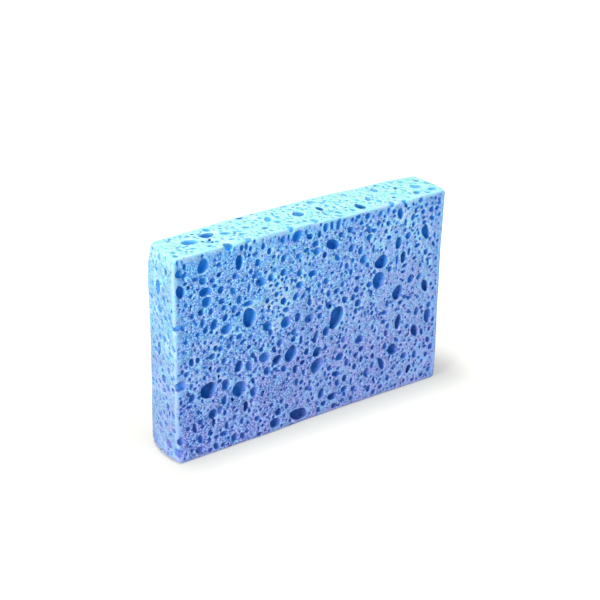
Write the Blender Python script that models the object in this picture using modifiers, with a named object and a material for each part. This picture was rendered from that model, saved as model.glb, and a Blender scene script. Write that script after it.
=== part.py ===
"""A cellulose sponge: one block of open-pored foam, standing on a long narrow side.

The frame is in metres with +Z up. X runs along the length and Y through the thickness.
The origin is under the middle of the block, on the surface that it stands on.
"""

import math

import bmesh
import bpy
import numpy as np
from mathutils import Matrix, Vector

MM = 0.001

# Driving dimensions of the block
LENGTH = 115 * MM
HEIGHT = 80 * MM
THICKNESS = 18.5 * MM
CORNER_RADIUS = 2.2 * MM
CORNER_STEPS = 3
EDGE_RADIUS = 0.8 * MM
EDGE_STEPS = 2

# Pores: the least wall between two of them, and the clear disc kept round each seat
PORE_WALL = 0.25 * MM
SEAT_RADIUS = 5 * MM
BACK_SEAT = (0, 0)
FRONT_SEAT = (-12.8, -25.6)

# How far a pore's middle lies below its face, as a share of its half depth
SHALLOW = -0.3
MIDDLE = 0.05
DEEP = 0.4

# A pore whose mean width is at least this is cut with the finer cutter
FINE_PORE = 4.6 * MM
COARSE_SUBDIVISIONS = 1
FINE_SUBDIVISIONS = 2

# Colours and finish of the foam
FOAM_COLOUR = (0.28, 0.47, 0.83, 1.0)
FOAM_ROUGHNESS = 0.9

# Main pores of the three sides that face up, forward and left. Each is placed from the middle
# of its side: across, up, width, height in millimetres, lean of its top to the right in degrees,
# and how deep it goes.
FRONT_PORES = [
    (-45.6, 35.6, 4.0, 5.4, 15, MIDDLE),
    (-31.4, 33.4, 2.9, 4.9, 0, DEEP),
    (-54.8, 28.1, 3.7, 5.0, -10, MIDDLE),
    (-44.8, 25.1, 4.8, 3.2, -10, DEEP),
    (-44.4, 20.9, 3.9, 3.9, 0, MIDDLE),
    (-38.8, 24.5, 2.2, 3.3, 10, DEEP),
    (-34.0, 22.7, 2.4, 3.1, -35, SHALLOW),
    (-22.5, 23.5, 5.0, 3.4, 0, SHALLOW),
    (-31.3, 18.7, 2.8, 3.3, 20, MIDDLE),
    (-41.5, 12.2, 2.9, 4.2, 15, MIDDLE),
    (-27.3, 10.4, 5.0, 7.3, 5, DEEP),
    (-36.5, 8.8, 4.6, 3.6, 0, SHALLOW),
    (-19.3, 4.8, 3.8, 4.0, 0, MIDDLE),
    (-45.8, 29.6, 3.1, 2.2, 0, MIDDLE),
    (-35.4, 39.6, 3.0, 2.6, 20, DEEP),
    (-33.8, 15.4, 2.0, 3.0, 0, MIDDLE),
    (-53.7, 3.7, 2.2, 2.5, 0, SHALLOW),
    (-38.6, 1.7, 2.2, 2.4, 0, MIDDLE),
    (-48.3, -0.5, 2.2, 2.2, 0, DEEP),
    (16.0, 34.2, 2.5, 2.0, 0, MIDDLE),
    (-6.7, 29.2, 2.4, 2.3, 0, SHALLOW),
    (-16.3, 25.8, 2.6, 2.3, 0, MIDDLE),
    (14.7, 19.6, 2.1, 2.6, 0, MIDDLE),
    (33.8, 13.6, 1.9, 2.6, 15, MIDDLE),
    (24.1, 31.5, 2.0, 2.8, 0, MIDDLE),
    (52.5, 29.6, 2.6, 1.8, 30, MIDDLE),
    (37.5, 35.2, 2.3, 3.2, -20, DEEP),
    (13.6, 6.0, 2.3, 2.4, 0, MIDDLE),
    (18.9, 13.5, 2.6, 1.6, 0, DEEP),
    (-24.0, -38.8, 2.4, 2.0, 0, DEEP),
    (-7.1, 37.1, 4.9, 3.5, -15, MIDDLE),
    (10.6, 36.5, 2.2, 3.8, 0, SHALLOW),
    (-12.6, 30.0, 3.6, 2.6, -35, MIDDLE),
    (1.2, 28.8, 3.4, 3.1, 0, SHALLOW),
    (7.9, 29.9, 5.6, 3.6, 30, DEEP),
    (-9.0, 24.3, 2.4, 3.2, -10, MIDDLE),
    (10.4, 24.3, 2.2, 3.2, -35, MIDDLE),
    (-0.2, 20.4, 3.4, 2.0, 0, DEEP),
    (5.3, 16.2, 2.8, 2.6, 0, SHALLOW),
    (-7.8, 12.8, 2.2, 3.6, 20, SHALLOW),
    (10.4, 10.8, 2.4, 2.8, 35, MIDDLE),
    (-12.1, 3.7, 3.7, 4.5, 15, MIDDLE),
    (-6.8, 4.5, 2.5, 2.9, 0, MIDDLE),
    (-1.7, 2.7, 3.9, 3.5, 0, SHALLOW),
    (9.9, -0.3, 5.2, 8.2, 30, DEEP),
    (28.8, 37.0, 2.5, 3.0, 0, SHALLOW),
    (39.9, 38.5, 2.8, 3.6, 0, SHALLOW),
    (51.8, 33.5, 2.6, 2.5, -20, MIDDLE),
    (43.4, 32.1, 2.1, 2.6, 0, MIDDLE),
    (37.2, 23.1, 2.8, 4.7, 15, DEEP),
    (49.6, 24.2, 3.0, 5.2, -12, DEEP),
    (22.2, 20.6, 3.5, 3.6, 0, MIDDLE),
    (29.9, 17.7, 4.6, 5.0, 15, DEEP),
    (39.6, 17.0, 2.2, 4.3, -10, DEEP),
    (50.4, 16.7, 2.0, 2.8, -15, MIDDLE),
    (29.0, 10.1, 5.1, 6.8, 0, MIDDLE),
    (43.6, 6.9, 2.7, 3.6, 15, MIDDLE),
    (47.6, 6.5, 2.6, 3.2, 30, SHALLOW),
    (37.4, 2.7, 4.0, 5.4, 15, DEEP),
    (50.6, 1.9, 2.6, 5.2, -15, DEEP),
    (-37.3, -4.0, 2.7, 2.7, 0, MIDDLE),
    (-48.8, -5.5, 2.3, 2.4, 0, MIDDLE),
    (-55.8, -9.0, 4.6, 4.2, 0, SHALLOW),
    (-44.2, -14.3, 6.0, 6.2, 30, DEEP),
    (-31.7, -8.3, 3.0, 4.5, 20, DEEP),
    (-27.3, -9.2, 3.4, 5.2, 0, SHALLOW),
    (-36.8, -14.0, 3.4, 3.9, 0, MIDDLE),
    (-51.0, -15.3, 2.5, 3.4, 0, MIDDLE),
    (-31.0, -17.5, 5.4, 6.3, 20, MIDDLE),
    (-25.4, -20.4, 2.9, 3.6, 0, MIDDLE),
    (-37.6, -20.2, 2.0, 3.7, 10, MIDDLE),
    (-42.7, -24.4, 3.2, 3.3, 0, DEEP),
    (-29.0, -25.5, 2.2, 3.9, 0, DEEP),
    (-49.8, -27.7, 1.8, 4.0, 0, MIDDLE),
    (-55.8, -31.3, 2.9, 3.3, 0, MIDDLE),
    (-48.3, -32.6, 2.2, 3.0, 15, MIDDLE),
    (-48.7, -36.6, 3.8, 2.3, 0, SHALLOW),
    (-34.0, -36.5, 2.2, 3.0, 0, MIDDLE),
    (-38.3, -33.6, 2.9, 1.8, 0, MIDDLE),
    (-20.5, -7.7, 4.2, 4.6, 0, SHALLOW),
    (-15.1, -9.8, 4.2, 3.1, -15, DEEP),
    (-9.2, -9.4, 4.3, 6.6, 20, MIDDLE),
    (1.3, -5.4, 1.9, 4.1, 10, DEEP),
    (2.2, -12.0, 3.5, 4.1, 10, DEEP),
    (-12.4, -14.8, 2.7, 3.0, 0, MIDDLE),
    (-7.1, -16.4, 2.1, 2.9, 0, DEEP),
    (2.1, -18.2, 4.8, 6.2, 15, SHALLOW),
    (14.0, -10.2, 2.4, 3.2, 0, SHALLOW),
    (12.4, -17.0, 4.0, 3.1, -15, MIDDLE),
    (15.6, -20.9, 2.4, 3.2, 15, MIDDLE),
    (10.4, -24.3, 3.1, 2.0, 0, DEEP),
    (3.8, -30.6, 2.5, 5.2, 10, MIDDLE),
    (9.0, -33.3, 4.3, 3.0, 5, DEEP),
    (14.0, -37.3, 2.4, 2.0, 0, MIDDLE),
    (-15.0, -32.4, 2.6, 2.6, 0, DEEP),
    (-16.7, -36.6, 4.6, 3.6, 0, MIDDLE),
    (-6.0, -36.0, 7.6, 4.6, 15, DEEP),
    (38.4, -10.2, 2.5, 5.5, 5, DEEP),
    (52.4, -11.6, 3.3, 5.8, -10, MIDDLE),
    (47.0, -7.9, 1.9, 3.3, 0, MIDDLE),
    (46.7, -16.3, 2.9, 5.4, -25, DEEP),
    (36.7, -21.5, 3.4, 4.3, -5, DEEP),
    (21.0, -13.0, 4.1, 3.6, 0, MIDDLE),
    (33.0, -13.5, 1.7, 2.6, -30, DEEP),
    (31.7, -26.3, 2.1, 4.8, -25, DEEP),
    (24.9, -28.1, 2.3, 3.8, 0, MIDDLE),
    (41.5, -25.6, 2.7, 2.7, 0, MIDDLE),
    (47.0, -26.5, 1.9, 2.8, -20, MIDDLE),
    (53.8, -21.9, 1.8, 2.8, -15, MIDDLE),
    (44.5, -32.7, 2.1, 4.3, 0, DEEP),
    (26.3, -35.3, 1.8, 3.0, 0, DEEP),
]
TOP_PORES = [
    (-45.0, 0.9, 6.0, 4.6, 25, MIDDLE),
    (-37.6, 2.9, 4.4, 4.0, 35, DEEP),
    (-31.5, -0.3, 3.6, 3.4, 30, MIDDLE),
    (-22.9, 0.6, 2.4, 2.3, 0, DEEP),
    (-12.5, 2.0, 2.4, 4.8, 30, SHALLOW),
    (-1.5, 0.2, 3.6, 4.2, -20, DEEP),
    (-17.3, -3.9, 2.2, 2.2, 0, MIDDLE),
    (-39.3, -3.1, 2.6, 2.6, 0, SHALLOW),
    (-29.7, 6.4, 2.4, 2.2, 0, SHALLOW),
    (8.5, 6.4, 3.6, 2.3, 0, MIDDLE),
    (8.4, 0.2, 2.8, 3.6, 0, DEEP),
    (7.7, -4.8, 2.4, 2.2, 0, MIDDLE),
    (22.5, 6.4, 2.2, 2.2, 0, MIDDLE),
    (35.2, 4.8, 2.4, 3.4, 0, MIDDLE),
    (22.6, -4.3, 3.6, 4.4, 0, DEEP),
    (28.8, -0.6, 2.0, 3.4, 15, MIDDLE),
    (50.0, -0.2, 3.4, 3.0, 30, MIDDLE),
    (47.3, -5.1, 2.4, 3.0, 30, DEEP),
    (53.4, -5.2, 3.0, 2.8, 0, MIDDLE),
]
LEFT_PORES = [
    (-1.8, 36.8, 2.8, 2.6, 0, MIDDLE),
    (-5.0, 33.8, 2.2, 2.0, 0, MIDDLE),
    (-1.8, 25.8, 2.8, 6.2, 5, MIDDLE),
    (-1.4, 17.4, 2.6, 2.4, 0, DEEP),
    (6.0, 17.8, 2.0, 2.4, 0, SHALLOW),
    (1.4, 7.0, 3.0, 2.0, 0, MIDDLE),
    (-2.9, 1.4, 2.3, 5.4, 10, DEEP),
    (0.4, -9.6, 2.6, 3.2, 0, DEEP),
    (3.0, -19.8, 2.3, 2.8, 0, DEEP),
    (-5.2, -22.8, 2.0, 2.4, 0, MIDDLE),
    (4.3, -33.4, 3.0, 3.2, 0, MIDDLE),
]

# The other three sides get pores strewn over them. Each side is named with the ends of its across
# and up directions where it meets a side with placed pores: strewn pores stay clear of those edges.
STREWN_SIDES = {"back": (1, 1), "bottom": (-1, 1), "right": (-1, 1)}
EDGE_CLEARANCE = 0.6 * MM

# Strewn pores, largest first: least and greatest width in millimetres, and the number for each
# square centimetre.
STREWN_CLASSES = [
    (4.4, 6.0, 0.22),
    (3.0, 4.2, 0.38),
    (2.1, 2.8, 0.36),
]
STREWN_SEED = 11
TRIES_PER_PORE = 60
STRETCH_RANGE = (1.05, 1.6)
LEAN_RANGE = (-30, 30)
TURN_SEED = 5


def side_frames():
    """The middle, the across and up directions and the half sizes of each side of the block."""
    half_x = LENGTH / 2
    half_y = THICKNESS / 2
    half_z = HEIGHT / 2
    x, y, z = Vector((1, 0, 0)), Vector((0, 1, 0)), Vector((0, 0, 1))
    return {
        "front": (-half_y * y + half_z * z, x, z, (half_x, half_z)),
        "back": (half_y * y + half_z * z, -x, z, (half_x, half_z)),
        "top": (2 * half_z * z, x, y, (half_x, half_y)),
        "bottom": (0 * z, x, -y, (half_x, half_y)),
        "left": (-half_x * x + half_z * z, -y, z, (half_y, half_z)),
        "right": (half_x * x + half_z * z, y, z, (half_y, half_z)),
    }


def pore_matrix(side, across, up, width, height, lean, sink):
    """Turns a unit ball into the pore, given in metres and degrees on its side of the block.

    The ball is swelled so that its mouth, where it meets the side, has the stated size.
    """
    middle, right, above, _ = side
    outward = right.cross(above)
    swell = 1 / math.sqrt(1 - sink * sink)
    half_width = swell * width / 2
    half_height = swell * height / 2
    half_depth = (half_width + half_height) / 2
    place = middle + right * across + above * up - outward * (sink * half_depth)
    axes = Matrix((right, above, outward)).transposed().to_4x4()
    turned = axes @ Matrix.Rotation(math.radians(-lean), 4, "Z")
    return Matrix.Translation(place) @ turned @ Matrix.Diagonal((half_width, half_height, half_depth, 1))


def ball_points():
    """Points spread over a unit ball, used to test whether two pores meet."""
    bm = bmesh.new()
    bmesh.ops.create_icosphere(bm, subdivisions=FINE_SUBDIVISIONS, radius=1)
    points = np.array([v.co[:] + (1.0,) for v in bm.verts])
    bm.free()
    return points


def meets(first, second, points):
    """Whether two pores, or the wall that they need, overlap."""
    for outer, inner in ((first, second), (second, first)):
        radii = outer.to_scale()
        grown = outer @ Matrix.Diagonal([1 + PORE_WALL / r for r in radii] + [1])
        local = points @ np.array(grown.inverted() @ inner).T
        if (local[:, :3] ** 2).sum(axis=1).min() < 1:
            return True
    return False


def keeps_clear(pore, others, points):
    reach = max(pore.to_scale()) + PORE_WALL
    for other in others:
        near = (pore.translation - other.translation).length < reach + max(other.to_scale())
        if near and meets(pore, other, points):
            return False
    return True


def seat_blanks(sides):
    """Flat discs that pores stay out of, so that each seat lies on whole material."""
    seats = (("front", FRONT_SEAT), ("back", BACK_SEAT), ("bottom", (0, 0)))
    width = 2 * SEAT_RADIUS
    return [
        pore_matrix(sides[name], across * MM, up * MM, width, width, 0, MIDDLE)
        for name, (across, up) in seats
    ]


def placed_pores(side, table):
    """The pores of a table whose middle lies on the side."""
    half_across, half_up = side[3]
    for across, up, width, height, lean, sink in table:
        if abs(across * MM) < half_across and abs(up * MM) < half_up:
            yield pore_matrix(side, across * MM, up * MM, width * MM, height * MM, lean, sink)


def strewn_pores(side, placed_ends, seed):
    """Candidate pores for one side, largest class first, several tries for each pore."""
    rng = np.random.default_rng(seed)
    half = np.array(side[3])
    area_cm2 = 4 * np.prod(half) / (10 * MM) ** 2
    for least, greatest, per_cm2 in STREWN_CLASSES:
        for _ in range(round(area_cm2 * per_cm2)):
            width = rng.uniform(least, greatest) * MM
            stretch = math.sqrt(rng.uniform(*STRETCH_RANGE))
            lean = rng.uniform(*LEAN_RANGE)
            sink = (SHALLOW, MIDDLE, MIDDLE, DEEP)[rng.integers(4)]
            places = rng.uniform(-1, 1, (TRIES_PER_PORE, 2)) * half
            room = half - EDGE_CLEARANCE - width * stretch / 2
            places = places[(places * placed_ends < room).all(axis=1)]
            yield [
                pore_matrix(side, across, up, width / stretch, width * stretch, lean, sink)
                for across, up in places
            ]


def all_pores():
    """Every pore, as the matrix of its ball, none of them meeting another or a seat."""
    sides = side_frames()
    points = ball_points()
    blanks = seat_blanks(sides)
    pores = []
    tables = {"front": FRONT_PORES, "top": TOP_PORES, "left": LEFT_PORES}
    for name, table in tables.items():
        for pore in placed_pores(sides[name], table):
            if keeps_clear(pore, pores + blanks, points):
                pores.append(pore)
    for order, (name, placed_ends) in enumerate(STREWN_SIDES.items()):
        for tries in strewn_pores(sides[name], placed_ends, STREWN_SEED + order):
            fitting = (pore for pore in tries if keeps_clear(pore, pores + blanks, points))
            pore = next(fitting, None)
            if pore is not None:
                pores.append(pore)
    return pores


def new_collection(name):
    collection = bpy.data.collections.new(name)
    bpy.context.scene.collection.children.link(collection)
    return collection


def move_to(collection, thing):
    for old in list(thing.users_collection):
        old.objects.unlink(thing)
    collection.objects.link(thing)


def foam_material():
    material = bpy.data.materials.new("foam")
    material.use_nodes = True
    shader = material.node_tree.nodes["Principled BSDF"]
    shader.inputs["Base Color"].default_value = FOAM_COLOUR
    shader.inputs["Roughness"].default_value = FOAM_ROUGHNESS
    shader.inputs["Metallic"].default_value = 0.0
    material.diffuse_color = FOAM_COLOUR
    return material


def block():
    """The block with its four upright and lying corners rounded, and then its outline edges."""
    bpy.ops.mesh.primitive_cube_add(size=1, location=(0, 0, HEIGHT / 2))
    sponge = bpy.context.active_object
    sponge.name = "sponge"
    sponge.scale = (LENGTH, THICKNESS, HEIGHT)
    bpy.ops.object.transform_apply(location=True, rotation=False, scale=True)

    mesh = sponge.data
    weights = mesh.attributes.new("bevel_weight_edge", "FLOAT", "EDGE")
    for edge in mesh.edges:
        start, end = (mesh.vertices[i].co for i in edge.vertices)
        along_thickness = abs(start.y - end.y) > THICKNESS / 2
        weights.data[edge.index].value = 1.0 if along_thickness else 0.0

    corners = sponge.modifiers.new("round_corners", "BEVEL")
    corners.limit_method = "WEIGHT"
    corners.width = CORNER_RADIUS
    corners.segments = CORNER_STEPS

    edges = sponge.modifiers.new("round_edges", "BEVEL")
    edges.limit_method = "ANGLE"
    edges.angle_limit = math.radians(45)
    edges.width = EDGE_RADIUS
    edges.segments = EDGE_STEPS
    return sponge


def pore_cutter(pores):
    """One mesh of separate balls, one for each pore, each turned its own way."""
    rng = np.random.default_rng(TURN_SEED)
    bm = bmesh.new()
    for pore in pores:
        radii = pore.to_scale()
        mean_width = 2 * (radii[0] * radii[1]) ** 0.5
        subdivisions = FINE_SUBDIVISIONS if mean_width > FINE_PORE else COARSE_SUBDIVISIONS
        turn = Matrix.Rotation(rng.uniform(0, math.tau), 4, Vector(rng.normal(size=3)).normalized())
        bmesh.ops.create_icosphere(bm, subdivisions=subdivisions, radius=1, matrix=pore @ turn)
    mesh = bpy.data.meshes.new("pores")
    bm.to_mesh(mesh)
    bm.free()
    mesh.shade_smooth()
    cutter = bpy.data.objects.new("pores", mesh)
    cutter.hide_render = True
    cutter.display_type = "WIRE"
    return cutter


def main():
    for thing in list(bpy.data.objects):
        bpy.data.objects.remove(thing, do_unlink=True)
    part_collection = new_collection("cellulose_sponge")
    cutter_collection = new_collection("cutters")

    sponge = block()
    move_to(part_collection, sponge)
    sponge.data.materials.append(foam_material())

    cutter = pore_cutter(all_pores())
    cutter_collection.objects.link(cutter)
    holes = sponge.modifiers.new("cut_pores", "BOOLEAN")
    holes.operation = "DIFFERENCE"
    holes.solver = "EXACT"
    holes.object = cutter


main()
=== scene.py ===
"""Looks of the cellulose sponge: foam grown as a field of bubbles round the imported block."""

import math

import bmesh
import bpy
import numpy as np
from mathutils import Matrix, Vector


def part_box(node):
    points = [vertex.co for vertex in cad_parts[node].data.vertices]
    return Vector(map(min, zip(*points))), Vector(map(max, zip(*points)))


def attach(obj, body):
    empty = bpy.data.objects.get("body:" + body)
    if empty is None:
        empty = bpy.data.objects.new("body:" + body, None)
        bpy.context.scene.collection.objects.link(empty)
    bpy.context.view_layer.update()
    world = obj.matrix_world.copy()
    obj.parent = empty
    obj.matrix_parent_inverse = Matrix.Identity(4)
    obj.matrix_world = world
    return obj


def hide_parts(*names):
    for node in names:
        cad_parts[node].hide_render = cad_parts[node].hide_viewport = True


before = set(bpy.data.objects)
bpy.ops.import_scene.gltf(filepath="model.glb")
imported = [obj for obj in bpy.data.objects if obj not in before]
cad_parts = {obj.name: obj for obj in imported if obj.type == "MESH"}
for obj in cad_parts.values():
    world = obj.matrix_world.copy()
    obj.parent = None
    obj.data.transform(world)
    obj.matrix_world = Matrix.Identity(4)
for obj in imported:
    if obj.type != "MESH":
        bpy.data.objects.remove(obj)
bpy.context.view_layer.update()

MM = 0.001
BLOCK_LOW, BLOCK_HIGH = (np.array(corner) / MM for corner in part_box("sponge"))

# The foam is worked out in millimetres, on a grid with this step and this many steps of margin.
GRID_STEP = 0.3
GRID_MARGIN = 4
FACE_TARGET = 196000

# Rounding of the block: its four corners seen from the front, the edges of its outline and the rims
# of its pores, and how uneven its faces are (cell size and reach in millimetres, and seed)
CORNER_RADIUS = 1.7
EDGE_RADIUS = 0.6
RIM_SOFTNESS = 0.1
WAVINESS = ((16.0, 0.12, 31), (3.2, 0.04, 32))

# The soft block isn't quite true. Its top stands higher along the front edge on the left, fading
# between these two places across, and along the middle of the back edge, which droops on the right.
FRONT_LIFT = 1.1
FRONT_LIFT_FADE = (-8, 20)
BACK_LIFT = 0.8
BACK_LIFT_RISE = (-50, -22)
BACK_LIFT_FADE = (12, 38)
BACK_DROOP = 1.0
BACK_DROOP_RISE = (42, 57)
LIFT_REACH = 4

# Its left end bulges at the foot, its right end at the top, less so at the edges, and the upper back
# corner of its left end leans in. Each has how much, and how far up or down from there it reaches.
FOOT_BULGE = 1.8
FOOT_BULGE_HEIGHT = 26
TOP_BULGE = 1.7
TOP_BULGE_HEIGHT = 30
TOP_BULGE_AT_EDGES = 0.3
CORNER_LEAN = 1.5
CORNER_LEAN_HEIGHT = 8
END_REACH = 12

# The foot of the front face stands forward on the left, fading between these places across
FRONT_FOOT = 1.2
FRONT_FOOT_HEIGHT = 12
FRONT_FOOT_FADE = (-25, 0)

# How far a pore's middle lies below its face, as a share of its half depth
SHALLOW = -0.3
MIDDLE = 0.05
DEEP = 0.4

# The bubbles' outlines are bent by smooth noise: its cell size and reach in millimetres, and its seed.
BENDS = ((5.0, 0.3, 21), (2.2, 0.2, 22))

# How much wider than stated a pore is all round where its thin edge has crumbled, which fades out
# between these two depths
PORE_GROWTH = 0.14
CRUMBLED = (0.4, 1.6)

# The pores' walls are rough: cell size and reach in millimetres, and seed
WALL_ROUGHNESS = ((1.7, 0.13, 23), (0.9, 0.07, 24))

# Pores stop this short of three edges, the lower front one, the upper back one and the right front
# one, over this far from the edge and these depths from the front or the back.
WHOLE_EDGE = 1.0
WHOLE_EDGE_REACH = 1.6
LOW_EDGE_DEPTHS = (1, 3)
OTHER_EDGE_DEPTHS = (0, 1)

# How much of the roughness of the pores' walls is left deep down
DEEP_ROUGHNESS = 0.3

# The grid holds this distance where no bubble is near
NO_BUBBLE = 9.0

# How far past a bubble's ball its distance is worked out, for a pore and for a fill bubble
PORE_REACH = 2.0
FILL_REACH = 0.9

# Brings the spread of the smooth noise to about one
NOISE_GAIN = 2.2

# Pores have painted shade on their left and lower walls. The measure for that is how solid the foam is
# this far from each point, in millimetres.
SHADED_SIDE_REACH = (-1.0, 0, -0.35)

# They have violet painted shade under their roofs, measured in the same way
ROOF_REACH = (0.3, 0, 1.0)

# Main pores of the three sides that face up, forward and left. Each is placed from the middle
# of its side: across, up, width, height in millimetres, lean of its top to the right in degrees,
# and how deep it goes. A row that ends early stands for no lean, and for MIDDLE.
FRONT_PORES = [
    (-45.6, 35.2, 4, 4.5, 15), (-31.4, 33.4, 2.9, 4.9, 0, DEEP), (-54.8, 28.1, 3.7, 5, -10),
    (-44.8, 25.1, 4.8, 3.2, -10, DEEP), (-44.4, 20.9, 3.9, 3.9), (-38.8, 24.5, 2.2, 3.3, 10, DEEP),
    (-34, 22.7, 2.4, 3.1, -35, SHALLOW), (-22.5, 23.5, 5, 3.4, 0, SHALLOW), (-31.3, 18.7, 2.8, 3.3, 20),
    (-41.5, 12.2, 2.9, 4.2, 15), (-27.3, 10.4, 4.9, 6.3, 5, DEEP), (-36.5, 8.8, 4.6, 3.6, 0, SHALLOW),
    (-19.3, 4.8, 3.8, 4), (-45.8, 29.6, 3.1, 2.2), (-35.4, 39.6, 3, 2.6, 20, DEEP), (-33.8, 15.4, 2, 3),
    (-53.7, 3.7, 2.2, 2.5, 0, SHALLOW), (-38.6, 1.7, 2.2, 2.4), (-48.3, -0.5, 2.2, 2.2, 0, DEEP),
    (16, 34.2, 2.5, 2), (-6.7, 29.2, 2.4, 2.3, 0, SHALLOW), (-16.3, 25.8, 2.6, 2.3),
    (14.7, 19.6, 2.1, 2.6), (33.8, 13.6, 1.9, 2.6, 15), (24.1, 31.5, 2, 2.8), (52.5, 29.6, 2.6, 1.8, 30),
    (37.5, 35.2, 2.3, 3.2, -20, DEEP), (13.6, 6, 2.3, 2.4), (18.9, 13.5, 2.6, 1.6, 0, DEEP),
    (-24, -38.8, 2.4, 2, 0, DEEP), (-7.1, 37.1, 4.9, 3.5, -15), (10.6, 36.5, 2.2, 3.8, 0, SHALLOW),
    (-12.6, 30, 3.6, 2.6, -35), (1.2, 28.8, 3.4, 3.1, 0, SHALLOW), (7.9, 29.9, 5.6, 3.6, 30, DEEP),
    (-9, 24.3, 2.4, 3.2, -10), (10.4, 24.3, 2.2, 3.2, -35), (-0.2, 20.4, 3.4, 2, 0, DEEP),
    (5.3, 16.2, 2.8, 2.6, 0, SHALLOW), (-7.8, 12.8, 2.2, 3.6, 20, SHALLOW), (10.4, 10.8, 2.4, 2.8, 35),
    (-12.1, 3.7, 3.7, 4.5, 15), (-6.8, 4.5, 2.5, 2.9), (-1.7, 2.7, 3.9, 3.5, 0, SHALLOW),
    (9.9, -0.3, 5.2, 8.2, 30, DEEP), (28.8, 37, 2.5, 3, 0, SHALLOW), (39.9, 38.5, 2.8, 3.6, 0, SHALLOW),
    (51.8, 33.5, 2.6, 2.5, -20), (43.4, 32.1, 2.1, 2.6), (37.2, 23.1, 2.8, 4.7, 15, DEEP),
    (49.6, 24.2, 3, 5.2, -12, DEEP), (22.2, 20.6, 3.5, 3.6), (29.9, 17.7, 4.6, 5, 15, DEEP),
    (39.6, 17, 2.2, 4.3, -10, DEEP), (50.4, 16.7, 2, 2.8, -15), (29, 10.1, 5.1, 6.8),
    (43.6, 6.9, 2.7, 3.6, 15), (47.6, 6.5, 2.6, 3.2, 30, SHALLOW), (37.4, 2.7, 4, 5.4, 15, DEEP),
    (50.6, 1.9, 2.6, 5.2, -15, DEEP), (-37.3, -4, 2.7, 2.7), (-48.8, -5.5, 2.3, 2.4),
    (-55.8, -9, 4.6, 4.2, 0, SHALLOW), (-44.2, -14.3, 6, 6.2, 30, DEEP), (-31.7, -8.3, 3, 4.5, 20, DEEP),
    (-27.3, -9.2, 3.4, 5.2, 0, SHALLOW), (-36.8, -14, 3.4, 3.9), (-51, -15.3, 2.5, 3.4),
    (-31, -17.5, 5.4, 6.3, 20), (-25.4, -20.4, 2.9, 3.6), (-37.6, -20.2, 2, 3.7, 10),
    (-42.7, -24.4, 3.2, 3.3, 0, DEEP), (-29, -25.5, 2.2, 3.9, 0, DEEP), (-49.8, -27.7, 1.8, 4),
    (-55.8, -31.3, 2.9, 3.3), (-48.3, -32.6, 2.2, 3, 15), (-48.7, -36.6, 3.8, 2.3, 0, SHALLOW),
    (-34, -36.5, 2.2, 3), (-38.3, -33.6, 2.9, 1.8), (-20.5, -7.7, 4.2, 4.6, 0, SHALLOW),
    (-15.1, -9.8, 4.2, 3.1, -15, DEEP), (-9.2, -9.4, 4.3, 6.6, 20), (1.3, -5.4, 1.9, 4.1, 10, DEEP),
    (2.2, -12, 3.5, 4.1, 10, DEEP), (-12.4, -14.8, 2.7, 3), (-7.1, -16.4, 2.1, 2.9, 0, DEEP),
    (2.1, -18.2, 4.8, 6.2, 15, SHALLOW), (14, -10.2, 2.4, 3.2, 0, SHALLOW), (12.4, -17, 4, 3.1, -15),
    (15.6, -20.9, 2.4, 3.2, 15), (10.4, -24.3, 3.1, 2, 0, DEEP), (3.8, -30.6, 2.5, 5.2, 10),
    (9, -33.3, 4.3, 3, 5, DEEP), (14, -37.3, 2.4, 2), (-15, -32.4, 2.6, 2.6, 0, DEEP),
    (-16.7, -36.6, 4.6, 3.6), (-6, -36, 7.6, 4.6, 15, DEEP), (38.4, -10.2, 2.5, 5.5, 5, DEEP),
    (52.4, -11.6, 3.3, 5.8, -10), (47, -7.9, 1.9, 3.3), (46.7, -16.3, 2.9, 5.4, -25, DEEP),
    (36.7, -21.5, 3.4, 4.3, -5, DEEP), (21, -13, 4.1, 3.6), (33, -13.5, 1.7, 2.6, -30, DEEP),
    (31.7, -26.3, 2.1, 4.8, -25, DEEP), (24.9, -28.1, 2.3, 3.8), (41.5, -25.6, 2.7, 2.7),
    (47, -26.5, 1.9, 2.8, -20), (53.8, -21.9, 1.8, 2.8, -15), (44.5, -32.7, 2.1, 4.3, 0, DEEP),
    (26.3, -35.3, 1.8, 3, 0, DEEP),
]
TOP_PORES = [
    (-45, 0.9, 6, 4.6, 25), (-37.6, 2.9, 4.4, 4, 35, DEEP), (-31.5, -0.3, 3.6, 3.4, 30),
    (-22.9, 0.6, 2.4, 2.3, 0, DEEP), (-12.5, 2, 2.4, 4.8, 30, SHALLOW), (-1.5, 0.2, 3.6, 4.2, -20, DEEP),
    (-17.3, -3.9, 2.2, 2.2), (-39.3, -3.1, 2.6, 2.6, 0, SHALLOW), (-29.7, 6.4, 2.4, 2.2, 0, SHALLOW),
    (8.5, 6.4, 3.6, 2.3), (8.4, 0.2, 2.8, 3.6, 0, DEEP), (7.7, -4.8, 2.4, 2.2), (22.5, 6.4, 2.2, 2.2),
    (35.2, 4.8, 2.4, 3.4), (22.6, -4.3, 3.6, 4.4, 0, DEEP), (28.8, -0.6, 2, 3.4, 15),
    (50, -0.2, 3.4, 3, 30), (47.3, -5.1, 2.4, 3, 30, DEEP), (53.4, -5.2, 3, 2.8),
]
LEFT_PORES = [
    (-1.8, 36.8, 2.8, 2.6), (-5, 33.8, 2.2, 2), (-1.8, 25.8, 2.8, 6.2, 5), (-1.4, 17.4, 2.6, 2.4, 0, DEEP),
    (6, 17.8, 2, 2.4, 0, SHALLOW), (1.4, 7, 3, 2), (-2.9, 1.4, 2.3, 5.4, 10, DEEP),
    (0.4, -9.6, 2.6, 3.2, 0, DEEP), (3, -19.8, 2.3, 2.8, 0, DEEP), (-5.2, -22.8, 2, 2.4),
    (4.3, -33.4, 3, 3.2),
]

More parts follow.
